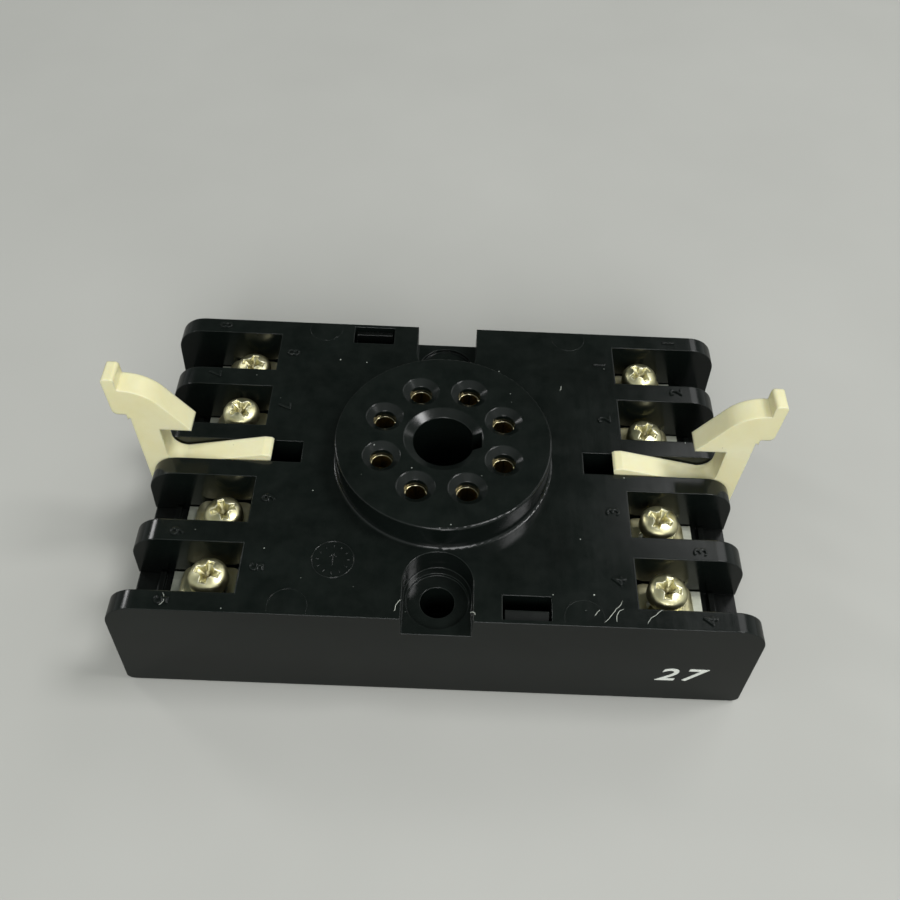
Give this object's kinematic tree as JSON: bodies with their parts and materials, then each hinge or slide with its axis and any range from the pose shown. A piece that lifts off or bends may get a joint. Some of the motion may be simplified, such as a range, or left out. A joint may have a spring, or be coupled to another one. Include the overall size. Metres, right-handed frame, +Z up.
{
  "type": "relay socket",
  "caption": "Octal relay socket for surface mounting: black moulded body with a keyed pin boss, screw terminals in open wells and pivoting nylon retaining clips.",
  "frame": {"origin": "centre of the underside", "axes": "+X along the long side towards the keyway side of the centre hole, +Z up out of the pin holes"},
  "size_m": [0.0852, 0.0496, 0.0346],
  "materials": {
    "cover": "semi-gloss black glass-filled PBT moulding",
    "base": "semi-gloss black glass-filled PBT moulding",
    "clip": "translucent natural nylon",
    "terminal_screw": "yellow zinc plate",
    "clamp_washer": "yellow zinc plate",
    "terminal_strip": "bright nickel plate on brass",
    "pin_contact": "rolled brass"
  },
  "bodies": {
    "socket": {"cover": "cover", "base": "base", "clamp_washer_1": "clamp_washer", "clamp_washer_2": "clamp_washer", "clamp_washer_3": "clamp_washer", "clamp_washer_4": "clamp_washer", "clamp_washer_5": "clamp_washer", "clamp_washer_6": "clamp_washer", "clamp_washer_7": "clamp_washer", "clamp_washer_8": "clamp_washer", "terminal_strip_1": "terminal_strip", "terminal_strip_2": "terminal_strip", "terminal_strip_3": "terminal_strip", "terminal_strip_4": "terminal_strip", "terminal_strip_5": "terminal_strip", "terminal_strip_6": "terminal_strip", "terminal_strip_7": "terminal_strip", "terminal_strip_8": "terminal_strip", "pin_contact_1": "pin_contact", "pin_contact_2": "pin_contact", "pin_contact_3": "pin_contact", "pin_contact_4": "pin_contact", "pin_contact_5": "pin_contact", "pin_contact_6": "pin_contact", "pin_contact_7": "pin_contact", "pin_contact_8": "pin_contact"},
    "clip_right": {"retaining_clip_right": "clip"},
    "clip_left": {"retaining_clip_left": "clip"},
    "screw_1": {"terminal_screw_1": "terminal_screw"},
    "screw_2": {"terminal_screw_2": "terminal_screw"},
    "screw_3": {"terminal_screw_3": "terminal_screw"},
    "screw_4": {"terminal_screw_4": "terminal_screw"},
    "screw_5": {"terminal_screw_5": "terminal_screw"},
    "screw_6": {"terminal_screw_6": "terminal_screw"},
    "screw_7": {"terminal_screw_7": "terminal_screw"},
    "screw_8": {"terminal_screw_8": "terminal_screw"}
  },
  "joints": [
    {"name": "clip_right_pivot", "type": "hinge", "parent": "socket", "child": "clip_right", "pos_m": [0.0373, 0, 0.0079], "axis": [0, -1, 0], "range_deg": [0, 16]},
    {"name": "clip_left_pivot", "type": "hinge", "parent": "socket", "child": "clip_left", "pos_m": [-0.0373, 0, 0.0079], "axis": [0, 1, 0], "range_deg": [0, 16]},
    {"name": "screw_1_travel", "type": "slide", "parent": "socket", "child": "screw_1", "axis": [0, 0, 1], "range_m": [-0.00245, 0.00175]},
    {"name": "screw_2_travel", "type": "slide", "parent": "socket", "child": "screw_2", "axis": [0, 0, 1], "range_m": [-0.00145, 0.00275]},
    {"name": "screw_3_travel", "type": "slide", "parent": "socket", "child": "screw_3", "axis": [0, 0, 1], "range_m": [-0.0031, 0.0011]},
    {"name": "screw_4_travel", "type": "slide", "parent": "socket", "child": "screw_4", "axis": [0, 0, 1], "range_m": [-0.00295, 0.00125]},
    {"name": "screw_5_travel", "type": "slide", "parent": "socket", "child": "screw_5", "axis": [0, 0, 1], "range_m": [-0.0025, 0.0017]},
    {"name": "screw_6_travel", "type": "slide", "parent": "socket", "child": "screw_6", "axis": [0, 0, 1], "range_m": [-0.0012, 0.003]},
    {"name": "screw_7_travel", "type": "slide", "parent": "socket", "child": "screw_7", "axis": [0, 0, 1], "range_m": [-0.003, 0.0012]},
    {"name": "screw_8_travel", "type": "slide", "parent": "socket", "child": "screw_8", "axis": [0, 0, 1], "range_m": [-0.0012, 0.003]}
  ]
}
